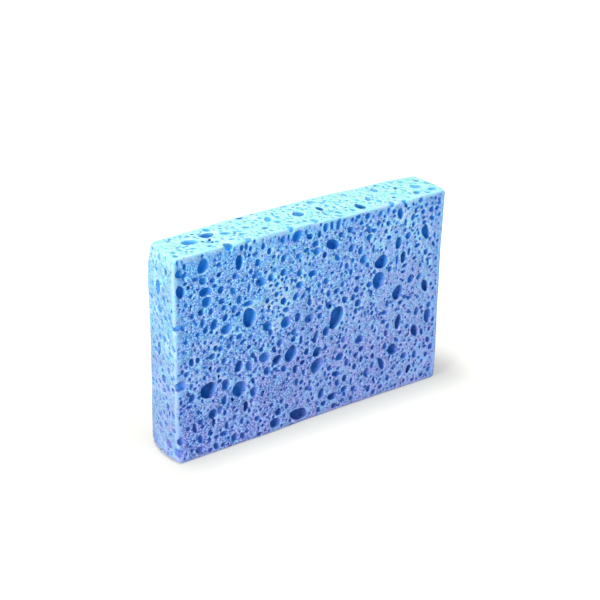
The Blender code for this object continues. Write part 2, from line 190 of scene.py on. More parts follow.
# Smaller pores of the same three sides, in the same terms but grouped by side and depth. These may
# run into the main ones.
SMALL_PORES = {
    ("front", SHALLOW): [
        (-46.3, 13.8, 1.8, 2.8), (-48.5, 31.3, 2.3, 1.7), (-24.8, 34.8, 2.8, 1.6), (-27.3, 22.7, 1.3, 3.8),
        (-31.7, 7.7, 1.8, 2.2), (8.1, 22.3, 2.3, 3.4), (5.2, 21.2, 1.9, 1.9), (-4.8, 12.3, 1.9, 3, 25),
        (7.2, 5.4, 2.5, 3.6), (31.9, 37.3, 1.6, 3.4), (26.3, 23.3, 1.4, 3.4), (37, 16.5, 1.7, 3.6),
        (33.6, 19.3, 1.6, 1.8), (44.5, 10.8, 1.6, 2.6), (25.4, 5.3, 1.8, 2.5), (-33.5, -28.6, 2.6, 2.2),
        (-20, -13.5, 3, 3), (10, -14.6, 2.2, 1.8), (26.5, -13.5, 1.9, 2.3), (29.4, -20.6, 1.4, 2.8),
        (22, -36.2, 2.7, 1.4),
    ],
    ("front", MIDDLE): [
        (-46.7, 18.1, 2.6, 2.4), (-27.3, 15.9, 4.2, 1.8), (-37.3, 13.5, 2, 2.5), (-52.9, 8.1, 2, 2),
        (-18.2, 1.8, 1.5, 2.4), (-26.5, 3.1, 2.2, 1.8), (-32.9, 28.8, 2.1, 2.1), (-56.3, 14.4, 2.2, 1.9),
        (-54, 14, 1.5, 1.9), (-40.6, 2.1, 1.8, 2.2), (-21.3, 8.5, 2, 1.5), (4.7, 36.8, 1.9, 2.5),
        (7.6, 36.7, 1.3, 3), (1.9, 35.2, 1.5, 2.4), (16.2, 37.3, 1.5, 1.7), (-9.9, 28.1, 1.2, 2.6),
        (12.1, 20.6, 1.8, 3, 30), (12.4, 9.1, 2, 1.9), (12.6, 13.1, 1.5, 2), (-11.5, 8.7, 2.3, 1.8),
        (20.5, 35.6, 1.6, 2.2), (47.1, 38.5, 2, 1.7), (40, 31.2, 1.3, 2.5), (54.5, 22.5, 1.3, 3.2, -10),
        (20.5, 24.2, 2, 3), (42, 18.5, 1.2, 2.9), (53.8, 18.7, 1.4, 3, -25), (40, 10.7, 2.9, 1.6),
        (-53, -4.9, 2, 1.9), (-39.8, -23.7, 1.8, 3), (-47.1, -26, 2, 1.6), (-52.5, -27.5, 2, 2),
        (-44.2, -31.2, 2.2, 2.7), (-30.6, -31.2, 1.8, 2.2, 20), (-57.1, -36, 2, 3),
        (-25.4, -5.2, 1.7, 2.4, -30), (-51.5, -10.4, 1.8, 1.7), (8.2, -8.1, 1.5, 1.9),
        (14.8, -6.6, 1.6, 2.4), (-5, -5, 1.4, 2.8), (-3.3, -19.4, 1.5, 2.1), (14.6, -13.6, 2.1, 1.7),
        (5.8, -23, 1.5, 2.3), (-6.6, -22.2, 1.6, 2.7), (10.2, -38, 2.3, 2.2), (17.9, -37.7, 2, 2),
        (-6.5, -31, 1.5, 2.1), (-16.3, -13.8, 2.1, 1.9), (-16.2, -17.3, 2, 1.8), (-6, -12.6, 1.4, 1.9),
        (52.4, -7.2, 1.8, 2.2, -15), (50.6, -18, 1.5, 3.8, -25), (31.9, -7.9, 2, 2), (24, -7.9, 1.5, 1.5),
        (29.5, -14.8, 1.6, 1.8), (46.9, -31.5, 1.2, 2.4), (37.8, -29.2, 2.3, 1.6), (28.8, -1.7, 1.3, 2.2),
        (32.8, -0.8, 1.3, 2.3),
    ],
    ("front", DEEP): [
        (-44.8, 11.1, 1.8, 2.7), (-29.8, 1.9, 3, 1.5, -30), (-42.1, 29.3, 1.7, 1.4),
        (-35.2, 27.6, 1.7, 1.3), (-42.9, 17.3, 1.2, 1.8), (-1.9, 35.6, 2.1, 2.2), (-18.2, 23.6, 2.2, 2.2),
        (-1.7, 9.3, 1.7, 2), (-16.2, 15.9, 1.5, 1.5), (-11.5, 17.2, 1.3, 1.5), (2.7, 2.3, 2.1, 2),
        (32.4, 32.5, 1.3, 1.8), (40.5, 13.1, 2.8, 1.4), (21.1, 6.2, 1.5, 1.9), (35.9, 28, 1.5, 1.3),
        (-51.7, -18.6, 1.8, 1.3), (-25.7, -16.1, 1.2, 2.3, -20), (-34.3, -21, 1.2, 2, -35),
        (-21.5, -22.2, 1.5, 1.6), (-42.5, -28.2, 1.3, 2.4), (-30.8, -37.3, 1.8, 2.3),
        (-44.2, -38.8, 1.6, 1.8), (-41.7, -37.7, 1.8, 2.3), (-24.2, -7.3, 1, 2.3), (-22.1, -3.8, 1.5, 1.5),
        (-27.1, -1, 1.7, 1.8), (-39.8, -9.6, 1.2, 1.7), (-16.5, -5.6, 1.4, 2.5, -30),
        (5.6, -4.2, 2.2, 2.8, 15), (19.6, -18.8, 2.3, 1.6), (5.3, -35.4, 2.1, 2.1),
        (-2.1, -32, 1.2, 2.2, -30), (17.9, -29.6, 1.2, 2.4), (18.8, -33.6, 1.9, 1.6),
        (38.2, -17.6, 1.2, 2.4, -45), (26.8, -9, 1.2, 2), (27.3, -22.1, 1.3, 2.3), (27.6, -26, 1.8, 1.7),
        (28.8, -31.6, 1.3, 2), (43.2, -1.3, 1.9, 1.1), (40.9, -4, 1.3, 1.2),
    ],
    ("top", SHALLOW): [
        (-51.5, 6.4, 2, 1.6), (-43.5, 5.9, 2, 1.8), (-10.9, -1.6, 2.2, 2), (-7, -3.8, 2.4, 1.8, 30),
        (-26.3, 3.2, 1.6, 1.8), (-8.5, 2.4, 1.5, 1.8), (-19, 2.2, 1.5, 1.4), (10.9, 7.6, 1.4, 1.2),
        (45, -4.2, 1.2, 2.2), (18.6, -5.8, 1.8, 2.3), (43.4, 2.1, 2.3, 1.8, 20), (24.8, 0.5, 1.7, 1.5),
        (12.2, 1.3, 1.4, 1.6), (18.8, 6.2, 1.6, 1.9), (5.5, 5.2, 1.5, 1.2), (44.6, 7.6, 1.6, 2.2),
        (38.3, 8, 2.6, 1.8), (39.6, -2, 2.6, 2.2), (29.3, 5, 1.4, 1.4), (20.6, 1.4, 1.7, 1.4),
    ],
    ("top", MIDDLE): [
        (-1.8, 8, 3, 1.6), (-49.6, 7.6, 1.4, 1.2), (-49.2, -1.9, 1.3, 2, 30), (-46.8, -4.7, 2, 1.6),
        (-37.1, -4.4, 1.2, 1.8, 20), (-20.7, 4.6, 1, 1.4), (-10, -8, 2, 2.6), (12.6, -5.7, 2, 2.4, 20),
        (14, -1, 1, 1.6), (39.3, -8.4, 2.6, 1.8),
    ],
    ("top", DEEP): [
        (-20.5, 8, 3, 1.8), (-15.5, 8.4, 1.1, 1), (-40.9, 6.4, 1.2, 1.2), (-26.3, -1.3, 1.4, 1.4),
        (-27.5, -8.4, 2, 1.5), (33.6, -8, 1.9, 2.6, 20),
    ],
    ("left", SHALLOW): [
        (0.5, 32.1, 1.8, 2), (5.2, 30.8, 1, 2.6), (-6.2, 17.5, 1.8, 1.5), (-2, -4.4, 1.4, 2.2),
    ],
    ("left", MIDDLE): [
        (7.9, 20.8, 1.8, 1.5), (7.6, 5.8, 2.2, 2.6), (-0.6, -6.6, 1.9, 1.4), (3, -12.2, 2.2, 2.2),
        (-4.7, -13.2, 1.6, 1.6), (2.2, -26.5, 2.6, 1.5), (-1.4, -31.5, 1.8, 1.6), (5, -29.6, 1.2, 1.2),
        (-3.4, -34.2, 1.4, 1.2),
    ],
    ("left", DEEP): [
        (0.5, 13.4, 1.7, 1.9), (8.6, 14.2, 1.7, 1.6), (8.6, -9.5, 1.5, 2.3), (6.7, -21.5, 1.4, 2.5),
        (8.4, -35.5, 2.2, 2.6), (0, -39.2, 2, 1.4),
    ],
}

# Pores strewn over the other three sides, as in the solid. Each side is named with the ends of its
# across and up directions where it meets a side with placed pores: strewn pores stay clear there.
STREWN_SIDES = {"back": (1, 1), "bottom": (-1, 1), "right": (-1, 1)}
EDGE_CLEARANCE = 0.6

# Strewn pores, largest first: least and greatest width, and the number for each square centimetre
STREWN_CLASSES = [
    (4.4, 6.0, 0.22),
    (3.0, 4.2, 0.38),
    (2.1, 2.8, 0.36),
]
STREWN_SEED = 11
TRIES_PER_PORE = 60
STRETCH_RANGE = (1.05, 1.6)
LEAN_RANGE = (-30, 30)
PORE_WALL = 0.25
SEAT_RADIUS = 5
SEATS = (("front", (-12.8, -25.6)), ("back", (0, 0)), ("bottom", (0, 0)))

# Bubbles strewn over the block's surface and then just below it, largest first: radius, wall,
# tries for each cubic centimetre, and the least and greatest depth of the middle in radii. Then
# come how much their sizes and lengths vary, and how far they stay from the block's edges.
FILL_SEED = 41
FILL_CLASSES = [
    (1.0, 0.4, 80, (-0.35, 0.45)),
    (0.72, 0.3, 260, (-0.35, 0.45)),
    (0.48, 0.2, 4000, (-0.3, 0.5)),
    (0.95, 0.3, 120, (0.8, 3.5)),
    (0.6, 0.25, 400, (0.8, 3.5)),
]
FILL_SIZES = (0.7, 1.3)
FILL_STRETCHES = (0.75, 1.35)
EDGE_FREE = 0.7


class Side:
    """One side of the block: its across, up and outward directions, its half sizes and its middle."""

    def __init__(self, across, up):
        half = (BLOCK_HIGH - BLOCK_LOW) / 2
        outward = np.cross(across, up)
        self.across, self.up, self.outward = Vector(across), Vector(up), Vector(outward)
        self.half = [float(abs(np.array(way)) @ half) for way in (across, up)]
        self.middle = Vector((BLOCK_LOW + BLOCK_HIGH) / 2 + (abs(outward) @ half) * outward)


def block_sides():
    directions = {
        "front": ((1, 0, 0), (0, 0, 1)),
        "back": ((-1, 0, 0), (0, 0, 1)),
        "top": ((1, 0, 0), (0, 1, 0)),
        "bottom": ((1, 0, 0), (0, -1, 0)),
        "left": ((0, -1, 0), (0, 0, 1)),
        "right": ((0, 1, 0), (0, 0, 1)),
    }
    return {name: Side(across, up) for name, (across, up) in directions.items()}


def pore_matrix(side, across, up, width, height, lean=0, sink=MIDDLE):
    """Turns a unit ball into the pore, given in millimetres and degrees on its side of the block.

    The ball is swelled so that its mouth, where it meets the side, has the stated size.
    """
    swell = 1 / math.sqrt(1 - sink * sink)
    half_width = swell * width / 2
    half_height = swell * height / 2
    half_depth = (half_width + half_height) / 2
    place = side.middle + side.across * across + side.up * up - side.outward * (sink * half_depth)
    axes = Matrix((side.across, side.up, side.outward)).transposed().to_4x4()
    turned = axes @ Matrix.Rotation(math.radians(-lean), 4, "Z")
    return Matrix.Translation(place) @ turned @ Matrix.Diagonal((half_width, half_height, half_depth, 1))


def ball_points():
    """Points spread over a unit ball, used to test whether two pores meet."""
    bm = bmesh.new()
    bmesh.ops.create_icosphere(bm, subdivisions=2, radius=1)
    points = np.array([v.co[:] + (1.0,) for v in bm.verts])
    bm.free()
    return points


def meets(first, second, points):
    """Whether two pores, or the wall that they need, overlap."""
    for outer, inner in ((first, second), (second, first)):
        radii = outer.to_scale()
        grown = outer @ Matrix.Diagonal([1 + PORE_WALL / r for r in radii] + [1])
        local = points @ np.array(grown.inverted() @ inner).T
        if (local[:, :3] ** 2).sum(axis=1).min() < 1:
            return True
    return False


def keeps_clear(pore, others, points):
    reach = max(pore.to_scale()) + PORE_WALL
    for other in others:
        near = (pore.translation - other.translation).length < reach + max(other.to_scale())
        if near and meets(pore, other, points):
            return False
    return True


def strewn_pores(side, placed_ends, seed):
    """Candidate pores for one side, largest class first, several tries for each pore."""
    rng = np.random.default_rng(seed)
    half = np.array(side.half)
    area_cm2 = 4 * np.prod(half) / 100
    for least, greatest, per_cm2 in STREWN_CLASSES:
        for _ in range(round(area_cm2 * per_cm2)):
            width = rng.uniform(least, greatest)
            stretch = math.sqrt(rng.uniform(*STRETCH_RANGE))
            lean = rng.uniform(*LEAN_RANGE)
            sink = (SHALLOW, MIDDLE, MIDDLE, DEEP)[rng.integers(4)]
            places = rng.uniform(-1, 1, (TRIES_PER_PORE, 2)) * half
            room = half - EDGE_CLEARANCE - width * stretch / 2
            places = places[(places * placed_ends < room).all(axis=1)]
            yield [
                pore_matrix(side, across, up, width / stretch, width * stretch, lean, sink)
                for across, up in places
            ]


def main_pores(sides):
    """The pores that the solid has too, as the matrices of their balls."""
    points = ball_points()
    blanks = [pore_matrix(sides[name], *place, 2 * SEAT_RADIUS, 2 * SEAT_RADIUS) for name, place in SEATS]
    pores = []
    for name, table in (("front", FRONT_PORES), ("top", TOP_PORES), ("left", LEFT_PORES)):
        for row in table:
            pore = pore_matrix(sides[name], *row)
            if keeps_clear(pore, pores + blanks, points):
                pores.append(pore)
    for order, (name, placed_ends) in enumerate(STREWN_SIDES.items()):
        for tries in strewn_pores(sides[name], placed_ends, STREWN_SEED + order):
            fitting = (pore for pore in tries if keeps_clear(pore, pores + blanks, points))
            pore = next(fitting, None)
            if pore is not None:
                pores.append(pore)
    return pores


def small_pores(sides):
    return [
        pore_matrix(sides[name], *row, sink=sink)
        for (name, sink), rows in SMALL_PORES.items()
        for row in rows
    ]


class Grid:
    """The grid of points that the foam is worked out on, in millimetres."""

    def __init__(self):
        margin = GRID_MARGIN * GRID_STEP
        self.start = BLOCK_LOW - margin
        self.shape = tuple(np.ceil((BLOCK_HIGH - BLOCK_LOW + 2 * margin) / GRID_STEP).astype(int) + 1)
        self.axes = [
            (self.start[i] + GRID_STEP * np.arange(self.shape[i])).astype(np.float32) for i in range(3)
        ]

    def spread(self):
        """The three coordinates, shaped to broadcast over the grid."""
        x, y, z = self.axes
        return x[:, None, None], y[None, :, None], z[None, None, :]

    def window(self, centre, reach):
        """The slices of the grid within reach of a point, or None if there are none."""
        low = np.floor((np.array(centre) - reach - self.start) / GRID_STEP).astype(int)
        high = np.ceil((np.array(centre) + reach - self.start) / GRID_STEP).astype(int) + 1
        low = np.maximum(low, 0)
        high = np.minimum(high, self.shape)
        if (low >= high).any():
            return None
        return tuple(slice(a, b) for a, b in zip(low, high))

    def offsets(self, window, middle):
        """How far the window's points lie from a middle along each axis, shaped to broadcast."""
        x, y, z = (axis[part] - m for axis, part, m in zip(self.axes, window, middle))
        return x[:, None, None], y[None, :, None], z[None, None, :]

    def read(self, values, points):
        """The values at points, between the grid's own by straight lines."""
        place = (points - self.start) / GRID_STEP
        place = np.clip(place, 0, np.array(self.shape) - 1.001)
        base = place.astype(int)
        part = place - base
        total = np.zeros(len(points))
        for corner in np.ndindex(2, 2, 2):
            weight = np.prod(np.where(corner, part, 1 - part), axis=1)
            i, j, k = (base + corner).T
            total += weight * values[i, j, k]
        return total


def spline_weights(positions, cell):
    """Weights that read smooth noise at positions from knots a cell apart."""
    place = (positions - positions[0]) / cell
    knots = int(place[-1]) + 4
    base = place.astype(int)
    t = place - base
    weights = np.zeros((len(positions), knots), np.float32)
    rows = np.arange(len(positions))
    weights[rows, base] = (1 - t) ** 3 / 6
    weights[rows, base + 1] = (3 * t**3 - 6 * t**2 + 4) / 6
    weights[rows, base + 2] = (-3 * t**3 + 3 * t**2 + 3 * t + 1) / 6
    weights[rows, base + 3] = t**3 / 6
    return weights


def smooth_noise(grid, cell, rng):
    """Smooth noise over the whole grid, with a spread of about one."""
    along = [spline_weights(axis, cell) for axis in grid.axes]
    knots = rng.normal(size=[w.shape[1] for w in along]).astype(np.float32)
    values = np.tensordot(along[0], knots, axes=(1, 0))
    values = np.tensordot(values, along[1], axes=(1, 1))
    values = np.tensordot(values, along[2], axes=(1, 1))
    return values * NOISE_GAIN


def ease(values, low, high):
    """Zero below the low value and one above the high one, with a smooth step between them."""
    share = np.clip((values - low) / (high - low), 0, 1)
    return share * share * (3 - 2 * share)


def rounded(first, second):
    """Distance outside the edge where two faces meet, from the distances outside each of them."""
    return np.hypot(np.maximum(first, 0), np.maximum(second, 0)) + np.minimum(np.maximum(first, second), 0)


def block_field(grid):
    """Distance outside the rounded block, negative inside, made slightly uneven."""
    x, y, z = grid.spread()
    middle = (BLOCK_LOW + BLOCK_HIGH) / 2
    half = (BLOCK_HIGH - BLOCK_LOW) / 2
    qx = abs(x - middle[0]) - (half[0] - CORNER_RADIUS)
    qz = abs(z - middle[2]) - (half[2] - CORNER_RADIUS)
    outline = rounded(qx, qz) - CORNER_RADIUS + EDGE_RADIUS
    face = abs(y - middle[1]) - half[1] + EDGE_RADIUS
    field = (rounded(outline, face) - EDGE_RADIUS).astype(np.float32)
    for cell, reach, seed in WAVINESS:
        field += reach * smooth_noise(grid, cell, np.random.default_rng(seed))
    return field


def bends(grid):
    """How far each point of the grid is shifted when the bubbles are read there."""
    shift = [np.zeros(grid.shape, np.float32) for _ in range(3)]
    for cell, reach, seed in BENDS:
        rng = np.random.default_rng(seed)
        for part in shift:
            part += reach * smooth_noise(grid, cell, rng)
    return shift


def edge_guard(grid):
    """How far the pores are held back from the edges that stay whole."""
    x, y, z = grid.spread()
    from_front = y - BLOCK_LOW[1]
    at_bottom = 1 - ease(z - BLOCK_LOW[2], 0, WHOLE_EDGE_REACH)
    at_top = 1 - ease(BLOCK_HIGH[2] - z, 0, WHOLE_EDGE_REACH)
    at_right = 1 - ease(BLOCK_HIGH[0] - x, 0, WHOLE_EDGE_REACH)
    low_front = at_bottom * (1 - ease(from_front, *LOW_EDGE_DEPTHS))
    high_back = at_top * (1 - ease(BLOCK_HIGH[1] - y, *OTHER_EDGE_DEPTHS))
    right_front = at_right * (1 - ease(from_front, *OTHER_EDGE_DEPTHS))
    return (WHOLE_EDGE * (low_front + high_back + right_front)).astype(np.float32)


def carve(field, grid, shift, crumbled, matrix):
    """Lowers the bubble field to the distance from one stretched ball."""
    radii = np.array(matrix.to_scale())
    middle = np.array(matrix.translation)
    window = grid.window(middle, radii.max() + PORE_REACH)
    if window is None:
        return
    place = [away + bend[window] for away, bend in zip(grid.offsets(window, middle), shift)]
    inverse = np.array(matrix.to_3x3().inverted(), np.float32)
    size = np.zeros(place[0].shape, np.float32)
    slope = np.zeros(place[0].shape, np.float32)
    for row, radius in zip(inverse, radii):
        local = row[0] * place[0] + row[1] * place[1] + row[2] * place[2]
        size += local**2
        slope += (local / radius) ** 2
    size = np.sqrt(size)
    distance = size * (size - 1) / np.maximum(np.sqrt(slope), 1e-6)
    distance -= PORE_GROWTH * crumbled[window]
    np.minimum(field[window], distance, out=field[window])


def fill_bubbles(field, block, grid):
    """Small bubbles wherever the walls between the others leave room for them."""
    rng = np.random.default_rng(FILL_SEED)
    size = BLOCK_HIGH - BLOCK_LOW
    for radius, wall, per_cm3, (least, greatest) in FILL_CLASSES:
        count = int(np.prod(size) / 1000 * per_cm3)
        places = BLOCK_LOW + rng.uniform(0, 1, (count, 3)) * size
        sizes = radius * rng.uniform(*FILL_SIZES, count)
        stretches = rng.uniform(*FILL_STRETCHES, (count, 3))
        cells = np.rint((places - grid.start) / GRID_STEP).astype(int)
        below = -block[tuple(cells.T)]
        second_face = np.sort(np.minimum(places - BLOCK_LOW, BLOCK_HIGH - places), axis=1)[:, 1]
        near = (below > least * sizes) & (below < greatest * sizes) & (second_face > EDGE_FREE + radius)
        for place, size_here, stretch, cell in zip(
            places[near], sizes[near], stretches[near], map(tuple, cells[near])
        ):
            if field[cell] < size_here + wall:
                continue
            carve_small(field, grid, place, size_here * stretch)


def carve_small(field, grid, place, radii):
    """Lowers the bubble field to about the distance from one small upright ball."""
    window = grid.window(place, radii.max() + FILL_REACH)
    if window is None:
        return
    x, y, z = (away / radius for away, radius in zip(grid.offsets(window, place), radii))
    size = np.sqrt(x**2 + y**2 + z**2)
    distance = (size - 1) * radii.min()
    np.minimum(field[window], distance, out=field[window])


def smooth_largest(a, b, softness):
    """The larger of two fields, blended where they are close so that the rims are soft."""
    gap = np.maximum(softness - abs(a - b), 0) / softness
    return np.maximum(a, b) + gap * gap * softness * 0.25


CELL_CORNERS = np.array(list(np.ndindex(2, 2, 2)))
CELL_EDGES = [
    (a, b)
    for a in range(8)
    for b in range(a + 1, 8)
    if abs(CELL_CORNERS[a] - CELL_CORNERS[b]).sum() == 1
]


def relax(places):
    """Moves points from the true block to where the soft block has them."""
    x, y, z = places.T
    top = BLOCK_HIGH[2]
    backward = ease(y, BLOCK_LOW[1], BLOCK_HIGH[1])
    left_end = 1 - ease(x, BLOCK_LOW[0], BLOCK_LOW[0] + END_REACH)
    right_end = ease(x, BLOCK_HIGH[0] - END_REACH, BLOCK_HIGH[0])
    middle = (BLOCK_LOW[1] + BLOCK_HIGH[1]) / 2
    crown = np.maximum(1 - ((y - middle) / (BLOCK_HIGH[1] - middle)) ** 2, 0)

    front_lift = FRONT_LIFT * (1 - backward) * (1 - ease(x, *FRONT_LIFT_FADE))
    back_lift = BACK_LIFT * backward * ease(x, *BACK_LIFT_RISE) * (1 - ease(x, *BACK_LIFT_FADE))
    droop = BACK_DROOP * backward * ease(x, *BACK_DROOP_RISE)
    lift = (front_lift + back_lift - droop) * ease(z, top - LIFT_REACH, top)

    foot = FOOT_BULGE * crown * left_end * (1 - ease(z, 0, FOOT_BULGE_HEIGHT))
    lean = CORNER_LEAN * backward * left_end * ease(z, top - CORNER_LEAN_HEIGHT, top)
    fullness = TOP_BULGE_AT_EDGES + (1 - TOP_BULGE_AT_EDGES) * crown
    bulge = TOP_BULGE * fullness * right_end * ease(z, top - TOP_BULGE_HEIGHT, top)
    forward = FRONT_FOOT * (1 - backward) * (1 - ease(x, *FRONT_FOOT_FADE))
    forward = forward * (1 - ease(z, 0, FRONT_FOOT_HEIGHT))
    return np.stack([x - foot + lean + bulge, y - forward, z + lift], axis=1)


def surface_net(field, grid):
    """Points and four-sided faces of the surface where the field is zero, one point in each cell."""
    solid = field < 0
    cells = tuple(n - 1 for n in field.shape)
    count = np.zeros(cells, np.uint8)
    for dx, dy, dz in CELL_CORNERS:
        count += solid[dx:dx + cells[0], dy:dy + cells[1], dz:dz + cells[2]]
    active = (count > 0) & (count < 8)
    place = np.argwhere(active)
    index = np.full(cells, -1, np.int32)
    index[active] = np.arange(len(place), dtype=np.int32)

    corners = np.stack([field[tuple((place + c).T)] for c in CELL_CORNERS], axis=1)
    total = np.zeros((len(place), 3))
    crossings = np.zeros(len(place))
    for a, b in CELL_EDGES:
        first, second = corners[:, a], corners[:, b]
        crossed = (first < 0) != (second < 0)
        part = first[crossed] / (first[crossed] - second[crossed])
        total[crossed] += CELL_CORNERS[a] + part[:, None] * (CELL_CORNERS[b] - CELL_CORNERS[a])
        crossings[crossed] += 1
    points = grid.start + GRID_STEP * (place + total / crossings[:, None])

    quads = []
    for axis in range(3):
        u, v = np.eye(3, dtype=int)[[(axis + 1) % 3, (axis + 2) % 3]]
        along = np.eye(3, dtype=int)[axis]
        here = solid[tuple(slice(1, n - 1) for n in field.shape)]
        ahead = solid[tuple(slice(1 + d, n - 1 + d) for n, d in zip(field.shape, along))]
        edges = np.argwhere(here != ahead) + 1
        outward = solid[tuple(edges.T)]
        ring = [index[tuple((edges - back).T)] for back in (0 * u, u, u + v, v)]
        faces = np.stack(ring, axis=1)
        faces[~outward] = faces[~outward][:, ::-1]
        quads.append(faces)
    return points, np.concatenate(quads)


def largest_body(points, quads):
    """Only the points and faces of the largest connected surface."""
    label = np.arange(len(points))
    while True:
        lowest = label[quads].min(axis=1)
        after = label.copy()
        np.minimum.at(after, quads.ravel(), np.repeat(lowest, 4))
        after = after[after]
        if (after == label).all():
            break
        label = after
    kept = label == np.bincount(label).argmax()
    quads = quads[kept[quads[:, 0]]]
    renumber = np.cumsum(kept) - 1
    return points[kept], renumber[quads]


def box_blur(values, reach):
    """Each value averaged with those up to reach steps away along each axis."""
    for axis in range(3):
        padding = [(reach + 1, reach) if i == axis else (0, 0) for i in range(3)]
        sums = np.cumsum(np.pad(values, padding, mode="edge"), axis=axis, dtype=np.float64)
        width = 2 * reach + 1
        high = np.take(sums, np.arange(width, sums.shape[axis]), axis=axis)
        low = np.take(sums, np.arange(0, sums.shape[axis] - width), axis=axis)
        values = ((high - low) / width).astype(np.float32)
    return values


def new_mesh(name, points, quads):
    mesh = bpy.data.meshes.new(name)
    mesh.vertices.add(len(points))
    mesh.vertices.foreach_set("co", (points * MM).astype(np.float32).ravel())
    mesh.loops.add(quads.size)
    mesh.loops.foreach_set("vertex_index", quads.astype(np.int32).ravel())
    mesh.polygons.add(len(quads))
    mesh.polygons.foreach_set("loop_start", np.arange(0, quads.size, 4, dtype=np.int32))
    mesh.update(calc_edges=True)
    mesh.validate()
    return mesh


def applied(thing):
    """The object's mesh with its modifiers applied, in place of the one it had."""
    graph = bpy.context.evaluated_depsgraph_get()
    mesh = bpy.data.meshes.new_from_object(thing.evaluated_get(graph))
    old = thing.data
    thing.modifiers.clear()
    thing.data = mesh
    bpy.data.meshes.remove(old)
    return mesh


def drop_folds(mesh):
    """Removes faces that lie back to back on the same corners, which having fewer faces can leave."""
    bm = bmesh.new()
    bm.from_mesh(mesh)
    by_corners = {}
    for face in bm.faces:
        by_corners.setdefault(frozenset(v.index for v in face.verts), []).append(face)
    folded = [face for faces in by_corners.values() if len(faces) > 1 for face in faces]
    bmesh.ops.delete(bm, geom=folded, context="FACES")
    bm.to_mesh(mesh)
    bm.free()


def mesh_points(mesh):
    values = np.empty(3 * len(mesh.vertices), np.float32)
    mesh.vertices.foreach_get("co", values)
    return values.reshape(-1, 3)


def add_measure(mesh, name, values):
    attribute = mesh.attributes.new(name, "FLOAT", "POINT")
    attribute.data.foreach_set("value", values.astype(np.float32))


def foam_field(grid, block):
    """The foam on the grid, negative inside it: the block without the bubbles."""
    sides = block_sides()
    shift = bends(grid)
    bubbles = np.full(grid.shape, NO_BUBBLE, np.float32)
    crumbled = 1 - ease(-block, *CRUMBLED)
    for matrix in main_pores(sides) + small_pores(sides):
        carve(bubbles, grid, shift, crumbled, matrix)
    fill_bubbles(bubbles, block, grid)
    share = DEEP_ROUGHNESS + (1 - DEEP_ROUGHNESS) * crumbled
    for cell, reach, seed in WALL_ROUGHNESS:
        bubbles += share * reach * smooth_noise(grid, cell, np.random.default_rng(seed))
    bubbles += edge_guard(grid)
    foam = smooth_largest(block, -bubbles, RIM_SOFTNESS)
    for axis in range(3):
        border = [slice(None)] * 3
        for end in (0, -1):
            border[axis] = end
            foam[tuple(border)] = 1.0
    return foam


# Where the top's and the left side's looks start, in millimetres past the edge that they share with
# the front or the back, how deep each of them reaches, and where the top's give way to the left's
SIDES_MEET = (-0.3, 0.7)
TOP_DEPTHS = (4, 8)
TOP_PAST_LEFT = (1, 5)
LEFT_DEPTHS = (2, 5)

# How far the front's edges, which carry a painted highlight, and its margin reach, and how deep they go
EDGE_FADE = (0.4, 2.2)
RIGHT_EDGE_FADE = (0.3, 2.4)
RIGHT_EDGE_SHARE = 0.7
MARGIN_FADE = (1.5, 5.5)
FRONT_DEPTHS = (0.6, 2.0)


def add_zones(mesh, places):
    """Stores how far each point belongs to the top, the left side, the front's edges and its margin."""
    from_top = BLOCK_HIGH[2] - places[:, 2]
    from_left = places[:, 0] - BLOCK_LOW[0]
    from_right = BLOCK_HIGH[0] - places[:, 0]
    from_front = places[:, 1] - BLOCK_LOW[1]
    from_both = np.minimum(from_front, BLOCK_HIGH[1] - places[:, 1])

    top_share = ease(np.minimum(from_both, from_right) - from_top, *SIDES_MEET)
    top_share = top_share * (1 - ease(from_top, *TOP_DEPTHS))
    add_measure(mesh, "top_share", top_share * (1 - ease(from_top - from_left, *TOP_PAST_LEFT)))
    left_share = ease(from_both - from_left, *SIDES_MEET)
    add_measure(mesh, "left_share", left_share * (1 - ease(from_left, *LEFT_DEPTHS)))

    on_front = 1 - ease(from_front, *FRONT_DEPTHS)
    from_corner = np.minimum(from_top, from_left)
    right_edge = RIGHT_EDGE_SHARE - RIGHT_EDGE_SHARE * ease(from_right, *RIGHT_EDGE_FADE)
    edge_share = np.maximum(1 - ease(from_corner, *EDGE_FADE), right_edge)
    add_measure(mesh, "edge_share", edge_share * on_front)
    margin_share = 1 - ease(np.minimum(from_corner, from_right), *MARGIN_FADE)
    add_measure(mesh, "margin_share", margin_share * on_front)


def add_surroundings(mesh, places, block, foam, grid):
    """Stores how deep each point lies in the block, and how solid the foam is around it."""
    solid = (foam < 0).astype(np.float32)
    around = box_blur(box_blur(solid, 2), 1)
    add_measure(mesh, "shaded_side", grid.read(around, places + SHADED_SIDE_REACH))
    add_measure(mesh, "roof", grid.read(around, places + ROOF_REACH))
    add_measure(mesh, "depth", -grid.read(block, places))
    for name, reach in (("near_solid", 1), ("far_solid", 6)):
        add_measure(mesh, name, grid.read(box_blur(box_blur(solid, reach), reach), places))


def foam_object():
    grid = Grid()
    block = block_field(grid)
    foam = foam_field(grid, block)
    points, quads = largest_body(*surface_net(foam, grid))
    thing = bpy.data.objects.new("sponge_foam", new_mesh("sponge_foam", points, quads))
    bpy.context.scene.collection.objects.link(thing)
    fewer = thing.modifiers.new("fewer_faces", "DECIMATE")
    fewer.ratio = min(1.0, FACE_TARGET / (2 * len(quads)))
    fewer.use_collapse_triangulate = True
    mesh = applied(thing)
    drop_folds(mesh)
    mesh.shade_smooth()

    places = mesh_points(mesh) / MM
    places[:, 2] = np.maximum(places[:, 2], BLOCK_LOW[2])
    add_zones(mesh, places)
    add_surroundings(mesh, places, block, foam, grid)
    mesh.vertices.foreach_set("co", (relax(places) * MM).astype(np.float32).ravel())
    mesh.update()
    return thing


